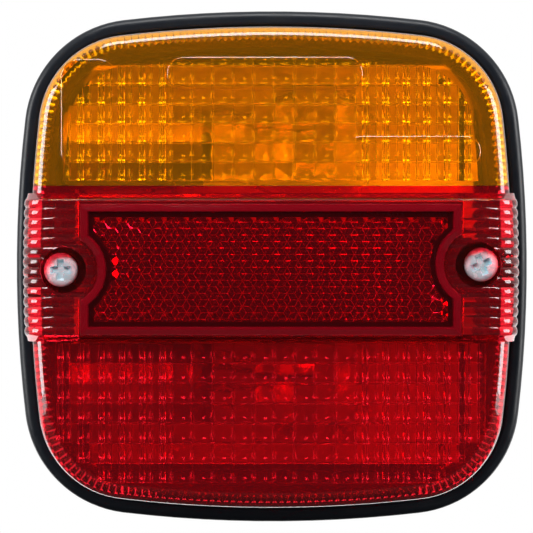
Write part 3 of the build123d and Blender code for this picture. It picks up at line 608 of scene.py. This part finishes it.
combine(red_lens, "DIFFERENCE",
        extruded("window", panel_plan(WINDOW_GAP), BAND_CEILING - 1, BAND_DEPTH + 2))
combine(red_lens, "INTERSECT", box("half", BEYOND_X, (-BEYOND_Z, SEAM_Z - SEAM_GAP), BEYOND_DEPTH))
red_rows = grid_edges(RED_TOP_Z, RED_CELL_Z, RED_LOW_Z, RED_TOP_Z)
combine(red_lens, "UNION", optic_block("optic", red_rows, stepped_block()))

finish_surface(amber_lens, LENS_SHARP)
finish_surface(red_lens, LENS_SHARP)


# --- Reflex reflector -----------------------------------------------------------------------------------


def corner_cubes(name, x, z, face):
    """A plate whose back is an array of corner cubes: a triangle lattice with three levels in turn."""
    edge = CUBE_SPACING / math.sqrt(3)
    step = edge / math.sqrt(2)
    row_height = edge * math.sqrt(3) / 2
    rows = range(math.floor(z[0] / row_height), math.ceil(z[1] / row_height) + 1)
    last = math.ceil((x[1] - x[0]) / edge)
    points, index = [], {}
    for row in rows:
        for k in range(last + 1):
            index[row, k] = len(points)
            shift = edge / 2 if row % 2 else 0
            level = (row - (k - (row - row % 2) // 2)) % 3
            points.append((x[0] + k * edge + shift, row * row_height, face - level * step))
    faces = []
    for row in rows[:-1]:
        for k in range(last):
            a, b = index[row, k], index[row, k + 1]
            c, d = index[row + 1, k], index[row + 1, k + 1]
            faces += [(a, c, b), (b, c, d)] if row % 2 == 0 else [(a, c, d), (a, d, b)]
    rim = [index[row, 0] for row in rows]
    rim += [index[rows[-1], k] for k in range(1, last + 1)]
    rim += [index[row, last] for row in reversed(rows[:-1])]
    rim += [index[rows[0], k] for k in range(last - 1, 0, -1)]
    points = np.array(points)
    back = place(*points.T)
    front = place(points[rim, 0], points[rim, 1], face + 0.4)
    flat = len(points)
    for n, a in enumerate(rim):
        m = (n + 1) % len(rim)
        faces.append((a, flat + n, flat + m, rim[m]))
    faces.append(tuple(range(flat, flat + len(rim))))
    return new_object(name, np.concatenate([back, front]), faces)


def soften_cell_edges(made, face, width):
    """Blunts the cubes' edges, which join neighbouring levels of the lattice."""
    step = CUBE_SPACING / math.sqrt(6)
    body = bmesh.new()
    body.from_mesh(made.data)

    def level(corner):
        return round((face + corner.co.y / MM) / step)

    ridges = [
        edge for edge in body.edges
        if abs(level(edge.verts[0]) - level(edge.verts[1])) == 1
        and all(len(corner.link_edges) == 6 for corner in edge.verts)
    ]
    bmesh.ops.bevel(body, geom=ridges, offset=width * MM, segments=1, profile=0.5, affect="EDGES")
    body.to_mesh(made.data)
    body.free()


def panel_ring(grow, depth):
    """The reflector's outline, grown, at a depth."""
    x, z = np.array(panel_plan(grow)).T
    return x, z, np.full(len(x), depth)


cube_face = PANEL_BACK + CUBE_HEIGHT
reflector = corner_cubes(
    "reflex_panel", (-PANEL_X - 2, PANEL_X + 2), (PANEL_LOW_Z - 2, PANEL_HIGH_Z + 3), cube_face)
soften_cell_edges(reflector, cube_face, RIDGE_WIDTH)
field_plan = panel_plan(0.1 - FRAME_WIDTH)
combine(reflector, "INTERSECT", extruded("plan", field_plan, PANEL_BACK - 1, PANEL_DEPTH + 3))
panel_frame = rings("frame", [
    panel_ring(0, PANEL_BACK),
    panel_ring(0, PANEL_DEPTH - BEVEL_FALL),
    panel_ring(-BEVEL_WIDTH, PANEL_DEPTH),
])
hollow_plan = panel_plan(-FRAME_WIDTH)
combine(panel_frame, "DIFFERENCE", extruded("hollow", hollow_plan, PANEL_BACK - 1, cube_face + 0.1))
combine(panel_frame, "DIFFERENCE", rings("field", [
    panel_ring(-FIELD_INSET - 0.2, FIELD_DEPTH),
    panel_ring(-FIELD_INSET, PANEL_DEPTH + 0.01),
    panel_ring(-FIELD_INSET, PANEL_DEPTH + 1),
]))
combine(reflector, "UNION", panel_frame)
finish_surface(reflector, PANEL_SHARP)


# --- Screws, springs and filaments ------------------------------------------------------------------------


def thread_radius(depth, turn):
    """Radius of the rolled thread at a depth, round the screw."""
    share = ((depth - SCREW_TIP) / THREAD_PITCH - turn / (2 * np.pi)) % 1.0
    ridge = np.interp(share, [0.2, 0.42, 0.52, 0.74], [0.0, 1.0, 1.0, 0.0])
    fade = np.interp(depth, [SCREW_TIP, SCREW_TIP + 1.2, THREAD_TOP - 0.6, THREAD_TOP], [0.0, 1.0, 1.0, 0.0])
    root = np.interp(depth, [SCREW_TIP, SCREW_TIP + 1.0], [THREAD_ROOT - 0.4, THREAD_ROOT])
    return root + (SHANK_RADIUS - THREAD_ROOT) * ridge * fade


def cross_screw(name, x, z, turned):
    """A pan-head screw with a rolled thread and a cross recess, turned by some degrees."""
    turn = np.linspace(0, 2 * np.pi, 72, endpoint=False)
    threaded = np.arange(SCREW_TIP, THREAD_TOP, THREAD_PITCH / 12)
    levels = [(thread_radius(depth, turn), depth) for depth in threaded]
    levels += [(SHANK_RADIUS, THREAD_TOP + 0.4), (SHANK_RADIUS, HEAD_LOW), (HEAD_RADIUS - 0.15, HEAD_LOW)]
    shoulder = HEAD_LOW + 0.42 * (HEAD_TOP - HEAD_LOW)
    levels += [(HEAD_RADIUS, HEAD_LOW + 0.15), (HEAD_RADIUS, shoulder)]
    for arc in np.linspace(0, np.pi / 2, 16)[1:-1]:
        levels.append((HEAD_RADIUS * math.cos(arc) ** 0.7, shoulder + (HEAD_TOP - shoulder) * math.sin(arc)))
    levels.append((0.12, HEAD_TOP))
    made = rings(name, [
        (x + radius * np.cos(turn), z + radius * np.sin(turn), np.full(len(turn), depth))
        for radius, depth in levels
    ])
    for wing in (turned, turned + 90):
        heading = math.radians(wing)
        levels = []
        for depth, long, wide in ((HEAD_TOP - 1.3, 1.5, 0.5), (HEAD_TOP + 0.3, 2.35, 0.76)):
            corners = [(-long, -wide), (long, -wide), (long, wide), (-long, wide)]
            plan_x = np.array([x + a * math.cos(heading) - b * math.sin(heading) for a, b in corners])
            plan_z = np.array([z + a * math.sin(heading) + b * math.cos(heading) for a, b in corners])
            levels.append((plan_x, plan_z, np.full(4, depth)))
        combine(made, "DIFFERENCE", rings("wing", levels))
    return finish_surface(made, SCREW_SHARP)


def compression_spring(name, node, coils):
    """Round-wire springs in place of a CAD node's, one for each coil, with closed end turns."""
    left, right = span(node, "x")
    middle_z = sum(span(node, "z")) / 2
    pieces = []
    for depth, radius in coils:
        turn = np.linspace(0, 2 * np.pi * SPRING_TURNS, 40 * SPRING_TURNS + 1)
        share = turn / turn[-1]
        closed = 0.5 / SPRING_TURNS
        rise = np.interp(share, [0, closed, 1 - closed, 1], [0.0, 0.05, 0.95, 1.0])
        x = left + SPRING_WIRE + rise * (right - left - 2 * SPRING_WIRE)
        path = place(x, middle_z + radius * np.sin(turn), depth + radius * np.cos(turn))
        pieces.append(tube(name, path, SPRING_WIRE))
    return join(name, pieces)


def lamp_filament(name, node, coils):
    """Coiled filaments on their lead-in wires, with the glass bead that holds the wires."""
    left = span(node, "x")[0]
    middle_z = sum(span(node, "z")) / 2
    pieces = []
    for x, depth in coils:
        turn = np.linspace(0, 2 * np.pi * COIL_TURNS, 14 * COIL_TURNS + 1)
        along = np.linspace(-COIL_HALF, COIL_HALF, len(turn))
        sag = COIL_SAG * (1 - (along / COIL_HALF) ** 2)
        coil_x = x - 0.05 - sag + COIL_RADIUS * np.sin(turn)
        path = place(coil_x, middle_z + along, depth + COIL_RADIUS * np.cos(turn))
        pieces.append(tube(name, path, COIL_WIRE, 6))
        for side in (-1, 1):
            share = np.linspace(0, 1, 24)
            spread = (COIL_HALF - LEAD_HALF + 0.12) * np.clip(share * 1.6 - 0.35, 0, 1)
            path = place(left + share * (x + 0.1 - left), middle_z + side * (LEAD_HALF + spread), depth)
            pieces.append(tube(name, path, LEAD_WIRE, 8))
    bead_x = left + GLASS_BEAD_AT
    middle_depth = sum(depth for _, depth in coils) / len(coils)
    sides = GLASS_BEAD_SIDES
    turn = np.linspace(0, 2 * np.pi, sides, endpoint=False)
    levels = []
    for arc in np.linspace(-np.pi / 2, np.pi / 2, 11)[1:-1]:
        levels.append(place(bead_x + math.sin(arc), middle_z + 2.9 * math.cos(arc) ** 0.5 * np.cos(turn),
                            middle_depth + 1.5 * math.cos(arc) ** 0.5 * np.sin(turn)))
    total = len(levels) * sides
    faces = [tuple(range(sides)), tuple(range(total - sides, total))]
    for low in range(0, total - sides, sides):
        for i in range(sides):
            j = (i + 1) % sides
            faces.append((low + i, low + j, low + sides + j, low + sides + i))
    bead = new_object(name, np.concatenate(levels), faces)
    return join(name, [*pieces, bead])


left_screw = cross_screw("left_screw", -SCREW_X, -STAGGER, LEFT_TURNED)
right_screw = cross_screw("right_screw", SCREW_X, STAGGER, RIGHT_TURNED)

springs, filaments = {}, {}
for unit, depths in CONTACT_DEPTHS.items():
    springs[unit] = compression_spring(
        f"{unit}_springs", f"{unit}_contact_springs", [(depth, SPRING_RADII[unit]) for depth in depths])
    front = span(f"{unit}_bulb_filament", "x")[1] - 0.45
    coils = [(front + shift, BULB_DEPTH + offset) for shift, offset in FILAMENTS[unit]]
    filaments[unit] = lamp_filament(f"{unit}_filament", f"{unit}_bulb_filament", coils)
    for piece in (springs[unit], filaments[unit]):
        finish_surface(piece, WIRE_SHARP)


# --- Materials -------------------------------------------------------------------------------------------

NOISE_SPAN = (0.3, 0.7)  # most noise values lie between these


def material(name, color, roughness, metallic=0.0, transmission=0.0, ior=1.5, specular=0.5,
             roughness_range=None, noise_scale=400.0, bump=0.0, bump_scale=900.0, color_range=None):
    """A procedural material: noise varies its roughness and colour, and finer noise its relief."""
    made = bpy.data.materials.new(name)
    made.use_nodes = True
    nodes, links = made.node_tree.nodes, made.node_tree.links
    shader = nodes["Principled BSDF"]
    shader.inputs["Base Color"].default_value = (*color, 1.0)
    shader.inputs["Roughness"].default_value = roughness
    shader.inputs["Metallic"].default_value = metallic
    shader.inputs["Transmission Weight"].default_value = transmission
    shader.inputs["IOR"].default_value = ior
    shader.inputs["Specular IOR Level"].default_value = specular
    coordinates = nodes.new("ShaderNodeTexCoord")
    if roughness_range or color_range:
        noise = nodes.new("ShaderNodeTexNoise")
        noise.inputs["Scale"].default_value = noise_scale
        noise.inputs["Detail"].default_value = 4.0
        links.new(coordinates.outputs["Object"], noise.inputs["Vector"])
        if roughness_range:
            ramp_into(made, noise.outputs["Fac"], NOISE_SPAN, roughness_range, "Roughness")
        if color_range:
            ramp = nodes.new("ShaderNodeValToRGB")
            for element, position, shade in zip(ramp.color_ramp.elements, NOISE_SPAN, color_range):
                element.position = position
                element.color = (*shade, 1.0)
            links.new(noise.outputs["Fac"], ramp.inputs["Fac"])
            links.new(ramp.outputs["Color"], shader.inputs["Base Color"])
    if bump:
        grain = nodes.new("ShaderNodeTexNoise")
        grain.inputs["Scale"].default_value = bump_scale
        grain.inputs["Detail"].default_value = 3.0
        links.new(coordinates.outputs["Object"], grain.inputs["Vector"])
        relief = nodes.new("ShaderNodeBump")
        relief.inputs["Strength"].default_value = bump
        relief.inputs["Distance"].default_value = 0.0001
        links.new(grain.outputs["Fac"], relief.inputs["Height"])
        links.new(relief.outputs["Normal"], shader.inputs["Normal"])
    return made


def object_y(made):
    """A socket with the object's own Y, in metres."""
    nodes = made.node_tree.nodes
    split = nodes.new("ShaderNodeSeparateXYZ")
    made.node_tree.links.new(nodes["Texture Coordinate"].outputs["Object"], split.inputs["Vector"])
    return split.outputs["Y"]


def ramp_into(made, source, source_range, value_range, target):
    """Drives a shader input from a source socket: between two source values it goes over two values."""
    spread = made.node_tree.nodes.new("ShaderNodeMapRange")
    spread.inputs["From Min"].default_value, spread.inputs["From Max"].default_value = source_range
    spread.inputs["To Min"].default_value, spread.inputs["To Max"].default_value = value_range
    made.node_tree.links.new(source, spread.inputs["Value"])
    shader = made.node_tree.nodes["Principled BSDF"]
    made.node_tree.links.new(spread.outputs["Result"], shader.inputs[target])


def acrylic(name, color, clear):
    """Tinted clear plastic, with a faint bulk haze, satin where the optics are moulded."""
    made = material(name, color, 0.0, transmission=clear, ior=ACRYLIC_IOR)
    nodes, links = made.node_tree.nodes, made.node_tree.links
    from_optics = nodes.new("ShaderNodeMath")
    from_optics.operation = "ADD"
    from_optics.inputs[1].default_value = (OPTIC_GROOVE - 0.3) * MM
    links.new(object_y(made), from_optics.inputs[0])
    distance = nodes.new("ShaderNodeMath")
    distance.operation = "ABSOLUTE"
    links.new(from_optics.outputs["Value"], distance.inputs[0])
    satin_range = (SATIN_HALF * MM, (SATIN_HALF + 0.1) * MM)
    ramp_into(made, distance.outputs["Value"], satin_range, (SATIN, POLISHED), "Roughness")
    return made


def reflex_plastic(name, color):
    """Red plastic that is clear over the corner cubes and a little cloudy in the frame in front of them."""
    made = material(name, color, 0.0, transmission=FIELD_CLEAR, ior=ACRYLIC_IOR, roughness_range=(0.0, 0.02))
    cloud_range = (-(CLOUD_DEPTH + 0.02) * MM, -CLOUD_DEPTH * MM)
    ramp_into(made, object_y(made), cloud_range, (FRAME_CLEAR, FIELD_CLEAR), "Transmission Weight")
    return made


looks = {
    "black_abs": material("black_abs", (0.012, 0.012, 0.014), 0.4, roughness_range=(0.32, 0.5), bump=0.25),
    "foam": material("foam", (0.03, 0.03, 0.03), 0.95, bump=0.9, bump_scale=1500.0,
                     color_range=((0.02, 0.02, 0.02), (0.05, 0.05, 0.05)), noise_scale=1500.0),
    "rubber": material("rubber", (0.004, 0.005, 0.007), 0.34, specular=0.18, roughness_range=(0.28, 0.42),
                       bump=0.12),
    "zinc_steel": material("zinc_steel", (0.62, 0.66, 0.72), 0.25, metallic=1.0, roughness_range=(0.16, 0.34),
                           color_range=((0.55, 0.6, 0.68), (0.72, 0.74, 0.76)), noise_scale=500.0),
    # Screw heads: bluish zinc plating with painted light; the cyan tint cancels the red light through the
    # lens walls, and the diffuse white stands in for front light
    "zinc_with_painted_light": material("zinc_with_painted_light", (0.62, 0.92, 1.0), 0.25, metallic=0.3,
                            roughness_range=(0.18, 0.32),
                            color_range=((0.45, 0.8, 0.9), (0.8, 0.97, 1.0)), noise_scale=700.0),
    "dull_zinc": material("dull_zinc", (0.36, 0.36, 0.36), 0.5, metallic=1.0, roughness_range=(0.42, 0.58),
                          color_range=((0.32, 0.32, 0.33), (0.42, 0.42, 0.41)), noise_scale=500.0),
    "spring_steel": material("spring_steel", (0.5, 0.5, 0.52), 0.25, metallic=1.0,
                             roughness_range=(0.2, 0.3)),
    "metallised": material("metallised", (0.95, 0.95, 0.95), 0.5, metallic=0.4, roughness_range=(0.42, 0.58),
                           noise_scale=150.0),
    "brass": material("brass", (0.78, 0.58, 0.25), 0.3, metallic=1.0, roughness_range=(0.22, 0.4)),
    "nickelled_brass": material("nickelled_brass", (0.3, 0.28, 0.24), 0.4, metallic=1.0,
                                roughness_range=(0.32, 0.48)),
    "phenolic": material("phenolic", (0.16, 0.075, 0.03), 0.45, roughness_range=(0.35, 0.55),
                         color_range=((0.12, 0.05, 0.02), (0.2, 0.1, 0.045)), noise_scale=700.0),
    "vitrite": material("vitrite", (0.01, 0.01, 0.012), 0.12, roughness_range=(0.08, 0.2)),
    "solder": material("solder", (0.6, 0.6, 0.6), 0.35, metallic=1.0, roughness_range=(0.25, 0.45), bump=0.3),
    "tungsten": material("tungsten", (0.35, 0.34, 0.33), 0.35, metallic=1.0, roughness_range=(0.3, 0.45)),
    "bulb_glass": material("bulb_glass", (1.0, 1.0, 1.0), 0.0, transmission=1.0, ior=1.5),
    "amber_acrylic": acrylic("amber_acrylic", (1.0, 0.42, 0.0), 0.96),
    "red_acrylic": acrylic("red_acrylic", (0.81, 0.008, 0.022), 0.955),
    "reflex_red": reflex_plastic("reflex_red", (0.72, 0.004, 0.022)),
    "reflex_backing": material("reflex_backing", (0.6, 0.58, 0.55), 0.5, roughness_range=(0.4, 0.6)),
}

# Nodes that wear another finish of their slot's material. The screws' bluish-white zinc is partly their own
# plating and partly painted light: its cyan tint cancels the red light that reaches the heads through the
# lens walls, and its mostly diffuse white stands in for front light.
NODE_LOOKS = {
    "lens_screw_left": "zinc_with_painted_light",
    "lens_screw_right": "zinc_with_painted_light",
    "indicator_socket": "dull_zinc",
    "tail_socket": "dull_zinc",
    "indicator_bracket": "dull_zinc",
    "tail_bracket": "dull_zinc",
}

slots = {entry["node"]: entry["material_slot"] for entry in frame["record"]["subparts"]}


def dress(piece, node):
    """Gives a piece the look of a CAD node: the node's own look if it has one, else its slot's material."""
    piece.data.materials.clear()
    piece.data.materials.append(looks[NODE_LOOKS.get(node, slots[node])])


for node, piece in frame["nodes"].items():
    dress(piece, node)

for piece, node, body in (
    (amber_lens, "lens_amber", "lens"),
    (red_lens, "lens_red", "lens"),
    (reflector, "reflex_reflector", "lens"),
    (left_screw, "lens_screw_left", "screw_left"),
    (right_screw, "lens_screw_right", "screw_right"),
    (springs["indicator"], "indicator_contact_springs", "base"),
    (springs["tail"], "tail_contact_springs", "base"),
    (filaments["indicator"], "indicator_bulb_filament", "indicator_bulb"),
    (filaments["tail"], "tail_bulb_filament", "tail_bulb"),
):
    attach(piece, body)
    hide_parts(node)
    dress(piece, node)

for unit, piece in springs.items():
    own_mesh(piece)


# --- Stage, lights and camera ---------------------------------------------------------------------------


def sheet(name, corners, finish):
    """A flat sheet on the stage, from its corners in metres."""
    mesh = bpy.data.meshes.new(name)
    mesh.from_pydata(corners, [], [tuple(range(len(corners)))])
    mesh.materials.append(finish)
    made = bpy.data.objects.new(name, mesh)
    bpy.context.scene.collection.objects.link(made)
    return made


# Places on the stage and of the camera are in metres
FLOOR_REACH = 0.85
FLOOR_Z = cad_low[2] - 0.09
CARD_HALF = 1.0
CARD_Y = -0.66
FLAG_HALF = 0.6
FLAG_Z = cad_low[2] - 0.07
FLAG_BACK_Y = 0.08
SQUARE = ((-1, -1), (1, -1), (1, 1), (-1, 1))

sheet("floor", [(x * FLOOR_REACH, y * FLOOR_REACH, FLOOR_Z) for x, y in SQUARE],
      material("floor_paper", (0.97, 0.97, 0.97), 0.9))

# A dark card behind the camera, which the flat front and the corner cubes mirror
card = sheet("dark_card", [(x * CARD_HALF, CARD_Y, z * CARD_HALF) for x, z in SQUARE],
             material("card", (0.005, 0.005, 0.005), 0.9))

# A dark flag under the lamp, so that its lower edge and rim stay dark
flag_ends = {-1: -CARD_HALF, 1: FLAG_BACK_Y}
flag = sheet("dark_flag", [(x * FLAG_HALF, flag_ends[end], FLAG_Z) for x, end in SQUARE],
             material("flag", (0.01, 0.01, 0.01), 0.9))

for hidden in (card, flag):
    hidden.visible_camera = False
    hidden.visible_shadow = False

world = bpy.data.worlds.new("studio")
bpy.context.scene.world = world
world.use_nodes = True
background = world.node_tree.nodes["Background"]
background.inputs["Color"].default_value = (1.0, 1.0, 1.0, 1.0)
background.inputs["Strength"].default_value = 1.0


def softbox(name, place_m, size, power):
    """A rectangular light that faces the lamp."""
    light = bpy.data.lights.new(name, "AREA")
    light.shape = "RECTANGLE"
    light.size, light.size_y = size
    light.energy = power
    made = bpy.data.objects.new(name, light)
    bpy.context.scene.collection.objects.link(made)
    made.location = place_m
    made.rotation_euler = (-Vector(place_m)).to_track_quat("-Z", "Y").to_euler()
    return made


softbox("left_softbox", (-0.95, -0.42, 0.15), (0.6, 0.7), 17.0)
softbox("right_softbox", (0.95, -0.42, 0.15), (0.6, 0.7), 17.0)
softbox("top_softbox", (0.0, -0.50, 0.95), (0.8, 0.5), 18.0)
front = softbox("front_softbox", (-0.12, -0.60, 0.30), (0.2, 0.12), 3.0)
front.visible_glossy = False

CAMERA_FROM = Vector((0.004, -0.600, 0.004))
CAMERA_AT = Vector((-0.0010, -0.017, 0.0))
CAMERA_LENS = 200.9
camera_data = bpy.data.cameras.new("camera")
camera_data.lens = CAMERA_LENS
camera_data.sensor_width = 36.0
camera_data.clip_start = 0.01
camera = bpy.data.objects.new("camera", camera_data)
bpy.context.scene.collection.objects.link(camera)
camera.location = CAMERA_FROM
camera.rotation_euler = (CAMERA_AT - CAMERA_FROM).to_track_quat("-Z", "Y").to_euler()
bpy.context.scene.camera = camera
bpy.context.scene.view_settings.view_transform = "Standard"
